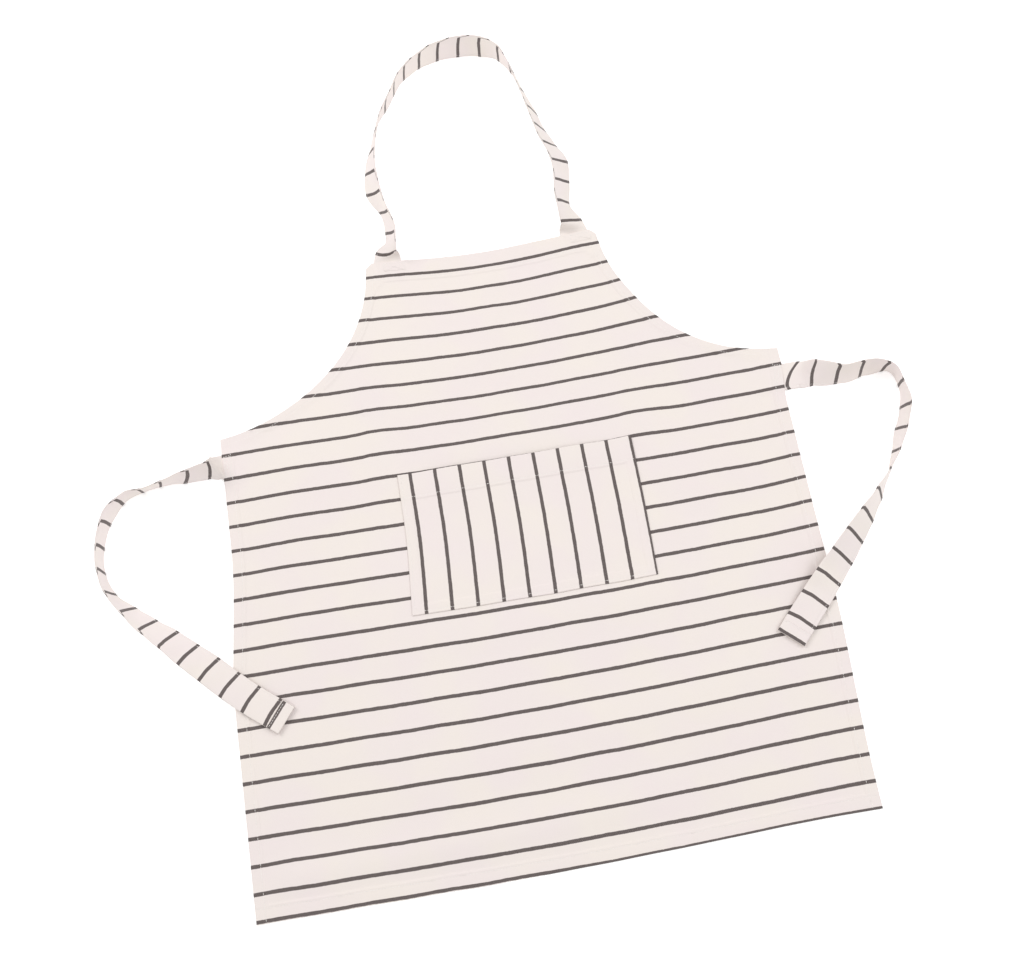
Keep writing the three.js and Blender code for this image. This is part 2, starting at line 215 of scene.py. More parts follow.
def relief(x, y):
    """Height of the soft folds in the body cloth."""
    fold = 0.8 * bump(np.abs(x + 4 + 0.03 * y) - 150, 5) * smooth((300 - y) / 160)
    middle = 0.5 * bump(x - 3, 6) * smooth((y + 340) / 300)
    low_ridge = 2.6 * bump(y + 312 - 0.055 * x, 20) * smooth((220 - x) / 260)
    ridge = 1.7 * bump(y + 235 - 0.16 * x, 26) * bump(x - 40, 230)
    pocket_ridge = 1.4 * bump(y + 104 - 0.05 * x, 17) * bump(x - 10, 150)
    bib = 2.0 * bump(x + 8, 26) * smooth((y - 180) / 90)
    waist = 1.8 * bump(np.hypot(x + 250, (y - 118) * 1.4), 70)
    calm = 0.9 + 0.9 * waves(x, y, 170, 3)
    return fold + middle + low_ridge + ridge + pocket_ridge + bib + waist + calm


def inside(x, y, reach):
    """0 at the body's edge, 1 once further in than reach."""
    side, bottom, bib, arm = edge_distances(x, y)
    d = np.minimum(np.minimum(side, bottom), np.minimum(bib, arm))
    return smooth(d / reach)


def body_height(x, y):
    """Middle of the body cloth above the floor."""
    lift, groove = hem_height(x, y)
    ends = sewn_in(x, y)
    pucker = 0.6 + 0.4 * waves(x, y, 9, 5)
    height = FLAT + (ON_HEM - FLAT) * lift + STRAP_THICK * 0.8 * ends
    height = height - 0.42 * groove * pucker
    under_pocket = 1 - 0.5 * bump(x, 150) * bump(y - 4, 90)
    height = height + relief(x, y) * (0.12 + 0.88 * inside(x, y, 45)) * under_pocket
    return height + 0.18 * waves(x, y, 14, 11) * smooth(lift * 1.2)


def lie(x, y):
    """Where a point of the flat pattern lies, as seen from above."""
    return x + sideways(x, y), y + drawn(x, y)


def laid(x, y, above=0.0):
    """Points in space for pattern points, at a height above the middle of the body cloth."""
    px, py = lie(x, y)
    return np.stack([px, py, body_height(x, y) + above], -1)


# ---- Mesh helpers --------------------------------------------------------------------------------


def make_mesh(name, points, faces, uv, material):
    """A mesh object in metres. uv has one pair per point, in metres of cloth."""
    mesh = bpy.data.meshes.new(name)
    mesh.from_pydata((np.asarray(points, float) / 1000).tolist(), [], faces)
    mesh.validate()
    if uv is not None:
        layer = mesh.uv_layers.new(name="pattern")
        corners = np.zeros(len(mesh.loops), np.int64)
        mesh.loops.foreach_get("vertex_index", corners)
        layer.data.foreach_set("uv", (np.asarray(uv, float) / 1000)[corners].ravel())
    mesh.polygons.foreach_set("use_smooth", [True] * len(mesh.polygons))
    mesh.materials.append(material)
    obj = bpy.data.objects.new(name, mesh)
    bpy.context.scene.collection.objects.link(obj)
    mesh.update()
    return obj


def grid_normals(points):
    down = np.gradient(points, axis=0)
    across = np.gradient(points, axis=1)
    normal = np.cross(across, down)
    return normal / np.linalg.norm(normal, axis=2, keepdims=True)


def grid_sheet(name, points, uv, thickness, material):
    """A closed sheet of cloth from a grid of points on its middle, seen from above."""
    rows, columns = points.shape[:2]
    normal = grid_normals(points)
    top = points + normal * thickness / 2
    under = points - normal * thickness / 2
    count = rows * columns
    number = np.arange(count).reshape(rows, columns)
    quads = np.stack([number[:-1, :-1], number[:-1, 1:], number[1:, 1:], number[1:, :-1]], -1).reshape(-1, 4)
    faces = quads.tolist() + (quads[:, ::-1] + count).tolist()
    ring = [
        *number[0, :-1],
        *number[:-1, -1],
        *number[-1, :0:-1],
        *number[:0:-1, 0],
    ]
    for a, b in zip(ring, ring[1:] + ring[:1]):
        faces.append([int(b), int(a), int(a) + count, int(b) + count])
    both = np.concatenate([top.reshape(-1, 3), under.reshape(-1, 3)])
    return make_mesh(name, both, faces, np.tile(uv.reshape(-1, 2), (2, 1)), material)


def tube_rings(name, rings, uv, material):
    """A closed body from rings of points, all with the same count, capped at both ends."""
    steps, count = rings.shape[:2]
    number = np.arange(steps * count).reshape(steps, count)
    turned = np.roll(number, -1, axis=1)
    quads = np.stack([number[:-1], turned[:-1], turned[1:], number[1:]], -1).reshape(-1, 4)
    faces = quads.tolist()
    faces.append(number[0, ::-1].tolist())
    faces.append(number[-1].tolist())
    return make_mesh(name, rings.reshape(-1, 3), faces, uv.reshape(-1, 2), material)


def unit(v):
    return v / np.maximum(np.linalg.norm(v, axis=-1, keepdims=True), 1e-9)


def resample(points, spacing):
    """Points along a line at an even spacing, with the length along it."""
    points = np.asarray(points, float)
    steps = np.linalg.norm(np.diff(points, axis=0), axis=1)
    along = np.concatenate([[0], np.cumsum(steps)])
    count = max(2, int(round(along[-1] / spacing)) + 1)
    wanted = np.linspace(0, along[-1], count)
    return np.stack([np.interp(wanted, along, points[:, k]) for k in range(points.shape[1])], -1), wanted


def capsules(centres, directions, ups, length, radius):
    """Points and faces of many short rounded threads."""
    sides = 6
    profile = ((-0.5, 0.25), (-0.42, 0.8), (-0.2, 1.0), (0.2, 1.0), (0.42, 0.8), (0.5, 0.25))
    points = []
    faces = []
    for middle, along, up in zip(centres, directions, ups):
        across = np.cross(along, up)
        first = len(points)
        for t, r in profile:
            sink = -0.25 * radius * (1 - r)
            for k in range(sides):
                turn = 2 * math.pi * k / sides
                lift = math.sin(turn) * radius * r * 0.8 + sink
                offset = across * math.cos(turn) * radius * r + up * lift
                points.append(middle + along * t * length + offset)
        rings = len(profile)
        for i in range(rings - 1):
            for k in range(sides):
                a = first + i * sides + k
                b = first + i * sides + (k + 1) % sides
                faces.append([a, b, b + sides, a + sides])
        faces.append([first + k for k in range(sides)][::-1])
        faces.append([first + (rings - 1) * sides + k for k in range(sides)])
    return points, faces


def stitches_along(lines):
    """Places, directions and ups for stitches along lines of (point, up) arrays."""
    centres = []
    directions = []
    ups = []
    for points, up in lines:
        both, _ = resample(np.concatenate([points, up], 1), (STITCH + STITCH_GAP) / 2)
        where = both[:, :3]
        for i in range(1, len(where) - 1, 2):
            along = unit(where[i + 1] - where[i - 1])
            across = unit(np.cross(along, both[i, 3:]))
            lean = along + across * rng.normal(0, 0.05)
            centres.append(where[i] + across * rng.normal(0, 0.06))
            directions.append(unit(lean))
            ups.append(unit(np.cross(across, along)))
    return centres, directions, ups


def stitch_piece(name, lines, length=STITCH, radius=THREAD):
    centres, directions, ups = stitches_along(lines)
    points, faces = capsules(centres, directions, ups, length, radius)
    return make_mesh(name, points, faces, None, thread)


# ---- Materials -----------------------------------------------------------------------------------


class Nodes:
    """Short ways to add and join shader nodes."""

    def __init__(self, name):
        self.material = bpy.data.materials.new(name)
        self.material.use_nodes = True
        self.tree = self.material.node_tree
        self.shader = self.tree.nodes["Principled BSDF"]

    def add(self, kind, inputs=(), **settings):
        node = self.tree.nodes.new(kind)
        for key, value in settings.items():
            setattr(node, key, value)
        for key, value in dict(inputs).items():
            self.plug(value, node.inputs[key])
        return node

    def plug(self, value, socket):
        if isinstance(value, bpy.types.NodeSocket):
            self.tree.links.new(value, socket)
        else:
            socket.default_value = value

    def math(self, operation, a, b=0.0, c=0.0, clamp=False):
        node = self.add("ShaderNodeMath", {0: a, 1: b, 2: c}, operation=operation, use_clamp=clamp)
        return node.outputs[0]

    def mix(self, factor, a, b):
        node = self.add("ShaderNodeMix", {0: factor, 6: a, 7: b}, data_type="RGBA")
        return node.outputs[2]

    def noise(self, vector, scale, detail=2.0, roughness=0.5):
        node = self.add(
            "ShaderNodeTexNoise",
            {"Vector": vector, "Scale": scale, "Detail": detail, "Roughness": roughness},
        )
        return node.outputs["Fac"]

    def range(self, value, low, high, to_low=0.0, to_high=1.0):
        node = self.add(
            "ShaderNodeMapRange",
            {0: value, 1: low, 2: high, 3: to_low, 4: to_high},
            interpolation_type="SMOOTHSTEP",
        )
        return node.outputs[0]


CREAM = (0.80, 0.735, 0.705, 1)
CREAM_WARM = (0.81, 0.745, 0.695, 1)
CREAM_PINK = (0.80, 0.722, 0.708, 1)
STRIPE = (0.083, 0.066, 0.064, 1)
STRIPE_LIGHT = (0.26, 0.225, 0.215, 1)
THREAD_WHITE = (0.86, 0.83, 0.80, 1)


def twill(name):
    """Cream cotton twill with a dark stripe across it every 28 mm. The diagonal ribs cut into the stripes."""
    n = Nodes(name)
    uv = n.add("ShaderNodeUVMap", uv_map="pattern").outputs[0]
    split = n.add("ShaderNodeSeparateXYZ", {0: uv})
    x = n.math("MULTIPLY", split.outputs[0], 1000.0)
    y = n.math("MULTIPLY", split.outputs[1], 1000.0)
    plane = n.add("ShaderNodeCombineXYZ", {0: x, 1: y}).outputs[0]

    # The stripe: its edges step with the weft threads and wander a little.
    wander = n.math("MULTIPLY", n.math("SUBTRACT", n.noise(plane, 0.11, 2.0), 0.5), 0.9)
    ragged = n.math("MULTIPLY", n.math("SUBTRACT", n.noise(plane, 1.1, 2.0), 0.5), 0.75)
    turns = n.math("DIVIDE", n.math("ADD", y, wander), float(STRIPE_PITCH))
    phase = n.math("FRACT", n.math("ADD", turns, 0.5))
    off = n.math("MULTIPLY", n.math("ABSOLUTE", n.math("SUBTRACT", phase, 0.5)), float(STRIPE_PITCH))
    stripe = n.range(n.math("ADD", off, ragged), 2.25, 1.75)

    # Twill ribs run diagonally, and single threads cross them.
    diagonal = n.math("ADD", n.math("MULTIPLY", x, 0.72), n.math("MULTIPLY", y, 0.70))
    rib = n.math("SINE", n.math("MULTIPLY", diagonal, 2 * math.pi / 1.15))
    warp = n.math("SINE", n.math("MULTIPLY", x, 2 * math.pi / 0.52))
    weft = n.math("SINE", n.math("MULTIPLY", y, 2 * math.pi / 0.47))
    slub = n.noise(n.add("ShaderNodeCombineXYZ", {0: n.math("MULTIPLY", x, 0.35), 1: y}).outputs[0], 1.6, 3.0)
    fleck = n.range(n.math("ADD", rib, n.math("MULTIPLY", slub, 1.6)), 0.95, 1.6)

    # Soft uneven tone in the cream, and the paler threads that show in a stripe.
    tone = n.noise(plane, 0.012, 2.0)
    tint = n.noise(plane, 0.03, 2.0)
    cream = n.mix(n.range(tone, 0.38, 0.62), CREAM_PINK, CREAM_WARM)
    cream = n.mix(n.math("MULTIPLY", n.range(tint, 0.3, 0.7), 0.5), cream, CREAM)
    mottle_and_rib_shade = n.math("ADD", 0.965, n.math("MULTIPLY", n.noise(plane, 0.9, 3.0, 0.6), 0.07))
    # Painted shade: the rib term makes the cream a little darker in the grooves between the twill ribs, where
    # the bump sinks, and lighter on the ribs; the noise above is the cloth's own uneven tone.
    mottle_and_rib_shade = n.math("ADD", mottle_and_rib_shade, n.math("MULTIPLY", rib, 0.012))
    cream = n.add("ShaderNodeVectorMath", {0: cream, 3: mottle_and_rib_shade}, operation="SCALE").outputs[0]
    dark = n.mix(n.math("MULTIPLY", fleck, 0.75), STRIPE, STRIPE_LIGHT)
    colour = n.mix(stripe, cream, dark)
    n.plug(colour, n.shader.inputs["Base Color"])

    height = n.math("ADD", n.math("MULTIPLY", rib, 0.55), n.math("MULTIPLY", warp, 0.2))
    height = n.math("ADD", height, n.math("MULTIPLY", weft, 0.15))
    height = n.math("ADD", height, n.math("MULTIPLY", slub, 0.9))
    relief_node = n.add("ShaderNodeBump", {"Height": height, "Strength": 0.35, "Distance": 0.00012})
    n.plug(relief_node.outputs[0], n.shader.inputs["Normal"])
    rough = n.range(n.noise(plane, 0.5, 2.0), 0.3, 0.7, 0.86, 0.96)
    n.plug(rough, n.shader.inputs["Roughness"])
    n.shader.inputs["Specular IOR Level"].default_value = 0.15
    n.shader.inputs["Sheen Weight"].default_value = 0.12
    n.shader.inputs["Sheen Roughness"].default_value = 0.6
    return n.material


def thread_material():
    """White cotton thread, twisted from fine strands."""
    n = Nodes("sewing_thread_cotton")
    place = n.add("ShaderNodeTexCoord").outputs["Object"]
    tone = n.noise(place, 900.0, 2.0)
    colour = n.mix(n.range(tone, 0.3, 0.7), (0.80, 0.765, 0.735, 1), THREAD_WHITE)
    n.plug(colour, n.shader.inputs["Base Color"])
    strands = n.add(
        "ShaderNodeTexWave",
        {"Vector": place, "Scale": 900.0, "Distortion": 1.0},
        wave_type="BANDS",
        bands_direction="DIAGONAL",
    )
    twist = {"Height": strands.outputs[1], "Strength": 0.3, "Distance": 0.00008}
    relief_node = n.add("ShaderNodeBump", twist)
    n.plug(relief_node.outputs[0], n.shader.inputs["Normal"])
    n.shader.inputs["Roughness"].default_value = 0.7
    n.shader.inputs["Specular IOR Level"].default_value = 0.2
    n.shader.inputs["Sheen Weight"].default_value = 0.1
    return n.material


body_cloth = twill("striped_twill_body")
strap_cloth = twill("striped_twill_strap")
thread = thread_material()


# ---- Body panel ----------------------------------------------------------------------------------

EDGE_STEPS = np.array([0, 0.06, 0.25, 0.55, 0.95, 1.8, 3.2, 5, 6.6])


def hem_steps(width):
    """Distances from an edge that follow the fold, the stitch groove and the hem's inner edge."""
    near = np.array([-3.6, -2.8, -2.2, -1.6, -0.8, 0.2, 0.9, 1.6, 2.3, 3.0, 4.2, 6.5])
    steps = np.concatenate([EDGE_STEPS, width + near])
    return np.unique(np.round(steps, 3))


def spread(low, high, spacing):
    return np.linspace(low, high, int(round((high - low) / spacing)) + 1)


def keep_apart(values, least):
    kept = [values[0]]
    for value in values[1:]:
        if value - kept[-1] >= least:
            kept.append(value)
    return np.array(kept)


def body_rows():
    bottom = BOTTOM + hem_steps(BOTTOM_HEM)
    skirt = spread(bottom[-1] + 3, WAIST - 1, 3.8)
    start = math.asin((ARM_X - WAIST_HALF) / ARM_A)
    end = math.acos((ARM_Y - BIB_TOP) / ARM_B)
    angles = np.linspace(start, end, 84)
    arm = ARM_Y - ARM_B * np.cos(angles)
    top = BIB_TOP - hem_steps(BIB_HEM)[::-1]
    arm = arm[arm < top[0] - 1.5]
    return np.concatenate([bottom, skirt, keep_apart(arm, 0.25), top])


def body_columns():
    """Distances in from each side edge, and shares of the middle."""
    edge = hem_steps(SIDE_HEM)
    middle = np.linspace(0, 1, 75)[1:-1]
    return edge, middle


def build_body():
    rows = body_rows()
    edge, middle = body_columns()
    reach = edge[-1]
    grid = []
    for y in rows:
        half = float(half_width(y))
        inner = half - reach
        left = -half + edge
        right = half - edge[::-1]
        grid.append(np.concatenate([left, -inner + 2 * inner * middle, right]))
    x = np.array(grid)
    y = np.repeat(rows[:, None], x.shape[1], axis=1)
    points = laid(x, y)
    side, bottom, bib, arm = edge_distances(x, y)
    d = np.clip(np.minimum(np.minimum(side, bottom), np.minimum(bib, arm)), 0, CURL)
    points[..., 2] -= CURL - np.sqrt(CURL**2 - (CURL - d) ** 2)
    # The bottom edge is folded a little askew, so that its stripe runs over the fold on the right.
    askew = 1.9 * smooth((x + 80) / 140) * (1 - smooth((y - BOTTOM) / 22))
    return grid_sheet("body_cloth", points, np.stack([x, y + askew], -1), CLOTH, body_cloth)


# ---- Hem folds under the edges -------------------------------------------------------------------


HEM_UNDER = 0.12  # underside of the layers under a hem, above the floor
HEM_TOP = REST + HEM_LAYER
TUCK = 0.75  # these layers stop this far short of the folded edge


def flat_band(name, outer, inner, fold_at=None):
    """A thin rounded band of cloth under a hem, between two lines of [x, y] on the pattern. The cloth of a
    cross hem comes from beyond the fold at height fold_at, so its stripes are mirrored there."""
    outer = np.asarray(outer, float)
    inner = even(inner, len(outer))
    shares = np.array([0, 0.02, 0.08, 0.3, 0.5, 0.7, 0.92, 0.98, 1.0])
    rise = np.array([0.5, 0.85, 1.0, 1.0, 1.0, 1.0, 1.0, 0.85, 0.5])
    across = outer[:, None] * (1 - shares)[None, :, None] + inner[:, None] * shares[None, :, None]
    x = across[..., 0]
    y = across[..., 1]
    px, py = lie(x, y)
    ends = sewn_in(x, y) * STRAP_THICK * 0.8
    lifted = relief(x, y) * (0.12 + 0.88 * inside(x, y, 45)) + ends
    top = HEM_UNDER + (HEM_TOP - HEM_UNDER) * rise[None, :] + lifted
    bottom = HEM_TOP - (HEM_TOP - HEM_UNDER) * rise[None, :] + lifted
    upper = np.stack([px, py, top], -1)
    lower = np.stack([px, py, bottom], -1)[:, ::-1]
    rings = np.concatenate([upper, lower[:, 1:-1]], 1)
    uv = np.stack([x, y], -1)
    if fold_at is not None:
        uv[..., 1] = 2 * fold_at - uv[..., 1]
    uv_ring = np.concatenate([uv, uv[:, ::-1][:, 1:-1]], 1)
    return tube_rings(name, rings, uv_ring, body_cloth)


def line_between(a, b, spacing=4.0):
    return resample([a, b], spacing)[0]


def arm_line(inset, low_y, high_y):
    """The armhole's edge pulled in by inset, on the right-hand side, from the waist up."""
    angles = np.linspace(math.radians(3), math.radians(89), 140)
    x = ARM_X - (ARM_A + inset) * np.sin(angles)
    y = ARM_Y - (ARM_B + inset) * np.cos(angles)
    keep = (y >= low_y) & (y <= high_y) & (x <= WAIST_HALF - 1)
    return np.stack([x[keep], y[keep]], -1)


def mirrored(points, sign):
    points = np.array(points, float)
    points[:, 0] *= sign
    return points


def even(points, count):
    """The same line with an exact number of points."""
    points = np.asarray(points, float)
    along = np.concatenate([[0], np.cumsum(np.linalg.norm(np.diff(points, axis=0), axis=1))])
    wanted = np.linspace(0, along[-1], count)
    return np.stack([np.interp(wanted, along, points[:, k]) for k in range(points.shape[1])], -1)


def side_line(inset, heights):
    """The right-hand side edge pulled in by inset."""
    return np.array([[float(half_width(y)) - inset, y] for y in heights])


def build_hems():
    made = []
    half = BOTTOM_HALF - TUCK
    outer = line_between([-half, BOTTOM + TUCK], [half, BOTTOM + TUCK])
    inner = line_between([-half, BOTTOM + BOTTOM_HEM], [half, BOTTOM + BOTTOM_HEM])
    made.append(("bottom_hem", flat_band("bottom_hem_fold", outer, inner, BOTTOM)))
    half = BIB_HALF - BIB_CORNER - TUCK
    wide = half + 5
    outer = line_between([-half, BIB_TOP - TUCK], [half, BIB_TOP - TUCK])
    inner = line_between([-wide, BIB_TOP - BIB_HEM], [wide, BIB_TOP - BIB_HEM])
    made.append(("bib_top_hem", flat_band("bib_top_hem_fold", outer, inner, BIB_TOP)))
    heights = spread(BOTTOM + BOTTOM_HEM + 0.4, WAIST - ARM_HEM - 1, 4.0)
    arm_top = BIB_TOP - BIB_HEM - 0.5
    for side, sign in (("left", -1), ("right", 1)):
        outer = mirrored(side_line(TUCK, heights), sign)
        inner = mirrored(side_line(SIDE_HEM, heights), sign)
        made.append((f"{side}_side_hem", flat_band(f"{side}_side_hem_fold", outer, inner)))
        outer = mirrored(even(arm_line(TUCK, 0, arm_top), 90), sign)
        inner = mirrored(even(arm_line(ARM_HEM, 0, arm_top), 90), sign)
        made.append((f"{side}_armhole_hem", flat_band(f"{side}_armhole_hem_fold", outer, inner)))
    return made


# ---- Pocket --------------------------------------------------------------------------------------

POCKET_SHIFT = 5.5  # the pocket is sewn on a little to the right of the middle
POCKET_LEFT = pocket_low[0]
POCKET_RIGHT = pocket_high[0]
POCKET_BOTTOM = pocket_low[1]
POCKET_MOUTH = pocket_high[1]
POCKET_PHASE = 118.5  # brings a stripe to its place near the left edge
POCKET_SEAM_IN = 3.3  # the seam round its three sides lies this far in
POCKET_ROUND = 0.75  # radius of its folded edges
MOUTH_SAG = 1.3


def pocket_uv(x, y):
    """The pocket is cut across the cloth, so its stripes run up and down, drawn out a little at its sides."""
    share = (x - POCKET_LEFT) / (POCKET_RIGHT - POCKET_LEFT)
    height = (y - POCKET_BOTTOM) / (POCKET_MOUTH - POCKET_BOTTOM)
    drawn_out = 1.8 * (1 - share) ** 2 - 1.1 * share**2 + 1.2 * (height - 0.5)
    return np.stack([y, x + POCKET_PHASE + drawn_out], -1)


def on_pocket(x, y, above):
    """Points in space on the pocket, whose mouth sags a little towards the left."""
    sag = MOUTH_SAG * smooth((POCKET_RIGHT - x) / (POCKET_RIGHT - POCKET_LEFT))
    lower = sag * smooth((y - POCKET_BOTTOM) / (POCKET_MOUTH - POCKET_BOTTOM))
    return laid(x + POCKET_SHIFT, y - lower, above)


def pocket_distances(x, y):
    sides = np.minimum(x - POCKET_LEFT, POCKET_RIGHT - x)
    return sides, y - POCKET_BOTTOM, POCKET_MOUTH - y


def pocket_above(x, y):
    """Middle of the pocket cloth above the middle of the body cloth."""
    sides, bottom, mouth = pocket_distances(x, y)
    edge = np.minimum(sides, bottom)
    turned = 1 - smooth((edge - POCKET_EDGE) / 2.2)
    hem = 1 - smooth((mouth - MOUTH_HEM) / 2.2)
    layers = CLOTH + 0.15 + np.maximum(turned * (CLOTH + 0.1), hem * (HEM_LAYER + 0.1))
    room = smooth((edge - POCKET_EDGE) / 45)
    belly = room * (0.7 + 0.5 * waves(x, y, 120, 21))
    gape = smooth((edge - 8) / 50) * smooth((60 - mouth) / 60) * (1.5 - 0.9 * smooth((x - 10) / 90))
    groove = np.maximum(bump(edge - POCKET_SEAM_IN, 1.0), bump(mouth - MOUTH_HEM + STITCH_IN, 1.0))
    pucker = 0.6 + 0.4 * waves(x, y, 9, 31)
    return layers + belly + gape - 0.35 * groove * pucker


def build_pocket():
    x = np.concatenate([
        POCKET_LEFT + hem_steps(POCKET_EDGE),
        spread(POCKET_LEFT + 20, POCKET_RIGHT - 20, 3.2),
        (POCKET_RIGHT - hem_steps(POCKET_EDGE))[::-1],
    ])
    y = np.concatenate([
        POCKET_BOTTOM + hem_steps(POCKET_EDGE),
        spread(POCKET_BOTTOM + 20, POCKET_MOUTH - MOUTH_HEM - 10, 3.2),
        (POCKET_MOUTH - hem_steps(MOUTH_HEM))[::-1],
    ])
    x, y = np.meshgrid(x, y)
    points = on_pocket(x, y, pocket_above(x, y))
    sides, bottom, mouth = pocket_distances(x, y)
    d = np.clip(np.minimum(np.minimum(sides, bottom), mouth), 0, POCKET_ROUND)
    points[..., 2] -= POCKET_ROUND - np.sqrt(POCKET_ROUND**2 - (POCKET_ROUND - d) ** 2)
    return grid_sheet("pocket_cloth", points, pocket_uv(x, y), CLOTH, body_cloth)


def build_mouth_hem():
    """The hem inside the mouth, seen where the pocket stands open."""
    hx = spread(POCKET_LEFT + POCKET_EDGE + 1, POCKET_RIGHT - POCKET_EDGE - 1, 3.2)
    hy = np.concatenate([
        [POCKET_MOUTH - MOUTH_HEM, POCKET_MOUTH - MOUTH_HEM + 0.3],
        spread(POCKET_MOUTH - MOUTH_HEM + 2, POCKET_MOUTH - 3, 3.2),
        [POCKET_MOUTH - 1.2, POCKET_MOUTH - 0.8],
    ])
    hx, hy = np.meshgrid(hx, hy)
    under = pocket_above(hx, hy) - CLOTH / 2 - HEM_LAYER / 2 - 0.04
    hem_points = on_pocket(hx, hy, under)
    return grid_sheet("pocket_mouth_hem_fold", hem_points, pocket_uv(hx, hy), HEM_LAYER * 0.8, body_cloth)


def build_turned_edges():
    """The turned-in edges under the pocket's three sewn sides."""
    outer_in = 0.8
    inner_in = POCKET_EDGE - 0.5
    top = POCKET_MOUTH - 1.2
    lines = []
    for inset in (outer_in, (outer_in + inner_in) / 2, inner_in):
        left = POCKET_LEFT + inset
        right = POCKET_RIGHT - inset
        bottom = POCKET_BOTTOM + inset
        corners = [[left, top], [left, bottom], [right, bottom], [right, top]]
        parts = [even(corners[k : k + 2], count)[:-1] for k, count in ((0, 40), (1, 66), (2, 40))]
        lines.append(np.concatenate([*parts, [corners[-1]]]))
    band = np.stack(lines, 1)
    bx = band[..., 0]
    by = band[..., 1]
    turned = on_pocket(bx, by, CLOTH + 0.06)[:, ::-1]
    return grid_sheet("pocket_turned_edges", turned, pocket_uv(bx, by)[:, ::-1], CLOTH * 0.8, body_cloth)


# ---- Stitch lines --------------------------------------------------------------------------------

UP = np.array([0, 0, 1.0])


def body_line(points, above):
    """A stitch line on the body panel, on its top (above > 0) or under the hem."""
    points = resample(points, 1.6)[0]
    where = laid(points[:, 0], points[:, 1], above)
    return where, np.tile(UP if above > 0 else -UP, (len(where), 1))


def seams():
    """Stitch lines on the body: name of the CAD thread they stand for, and their points."""
    side_top = WAIST - ARM_HEM + STITCH_IN
    found = []
    inset = SIDE_HEM - STITCH_IN
    for side, sign in (("left", -1), ("right", 1)):
        xs = [[float(half_width(y)) - inset, y] for y in (BOTTOM + 1.5, side_top)]
        found.append((f"{side}_side_thread", mirrored(xs, sign)))
        curve = arm_line(ARM_HEM - STITCH_IN, 0, BIB_TOP - BIB_HEM + 6)
        edge = WAIST_HALF - 1.2
        start = [edge, ARM_Y - (ARM_B + ARM_HEM - STITCH_IN) * math.cos(math.asin((ARM_X - edge) / ARM_A))]
        found.append((f"{side}_armhole_thread", mirrored(np.vstack([[start], curve]), sign)))
    y = BOTTOM + BOTTOM_HEM - STITCH_IN
    found.append(("bottom_thread", [[-BOTTOM_HALF + 1.2, y], [BOTTOM_HALF - 1.2, y]]))
    y = BIB_TOP - BIB_HEM + STITCH_IN
    half = float(half_width(y)) - 1.2
    found.append(("bib_top_thread", [[-half, y], [half, y]]))
    return found


def build_seams():
    made = []
    top = CLOTH / 2 + 0.02
    under = -(CLOTH / 2 + HEM_LAYER + 0.12)
    for node, points in seams():
        piece = stitch_piece(f"{node}_stitches", [body_line(points, top), body_line(points, under)])
        made.append((node, piece))
    left = POCKET_LEFT + POCKET_SEAM_IN
    right = POCKET_RIGHT - POCKET_SEAM_IN
    low = POCKET_BOTTOM + POCKET_SEAM_IN
    mouth = POCKET_MOUTH - 1.5
    line = resample([[left, mouth], [left, low], [right, low], [right, mouth]], 1.6)[0]
    bar_left = [[left, mouth], [left + 4, mouth - 9]]
    bar_right = [[right, mouth], [right - 4, mouth - 9]]
    lines = []
    for part in (line, resample(bar_left, 1.6)[0], resample(bar_right, 1.6)[0]):
        height = pocket_above(part[:, 0], part[:, 1]) + CLOTH / 2 + 0.02
        where = on_pocket(part[:, 0], part[:, 1], height)
        lines.append((where, np.tile(UP, (len(where), 1))))
        back = on_pocket(part[:, 0], part[:, 1], -CLOTH / 2 - 0.02)
        lines.append((back, np.tile(-UP, (len(back), 1))))
    made.append(("pocket_thread", stitch_piece("pocket_seam_stitches", lines)))
    y = POCKET_MOUTH - MOUTH_HEM + STITCH_IN
    part = resample([[POCKET_LEFT + 1.5, y], [POCKET_RIGHT - 1.5, y]], 1.6)[0]
    height = pocket_above(part[:, 0], part[:, 1]) + CLOTH / 2 + 0.02
    where = on_pocket(part[:, 0], part[:, 1], height)
    piece = stitch_piece("pocket_mouth_stitches", [(where, np.tile(UP, (len(where), 1)))])
    made.append(("pocket_mouth_thread", piece))
    return made


TACK_IN = 4  # the stitched box lies this far inside the strap's long edges
NECK_TACK = (13, 3)  # its far and near ends below the bib's top edge
TIE_TACK = (8.5, 2.5)  # the same inside the side edge
TACK_THREAD = 0.24  # radius


def build_tacks():
    """A stitched box with a cross over each strap end that is sewn in behind the cloth."""
    made = []
    names = ("neck_tack_left", "neck_tack_right", "left_tie_tack", "right_tie_tack")
    for name, (low, high) in zip(names, sewn_boxes):
        if name.startswith("neck"):
            x0, x1 = low[0] + TACK_IN, high[0] - TACK_IN
            y0, y1 = BIB_TOP - NECK_TACK[0], BIB_TOP - NECK_TACK[1]
        else:
            y0, y1 = low[1] + TACK_IN, high[1] - TACK_IN
            ends = [np.sign(low[0]) * (WAIST_HALF - inset) for inset in TIE_TACK]
            x0, x1 = min(ends), max(ends)
        loop = [[x0, y0], [x1, y0], [x1, y1], [x0, y1], [x0, y0]]
        cross = [[[x0, y0], [x1, y1]], [[x0, y1], [x1, y0]]]
        lines = [body_line(loop, CLOTH / 2 + 0.02)]
        lines += [body_line(part, CLOTH / 2 + 0.02) for part in cross]
        lines.append(body_line(loop, -(CLOTH / 2 + HEM_LAYER + 0.5)))
        made.append((name, stitch_piece(f"{name}_stitches", lines, radius=TACK_THREAD)))
    return made


# ---- Straps --------------------------------------------------------------------------------------

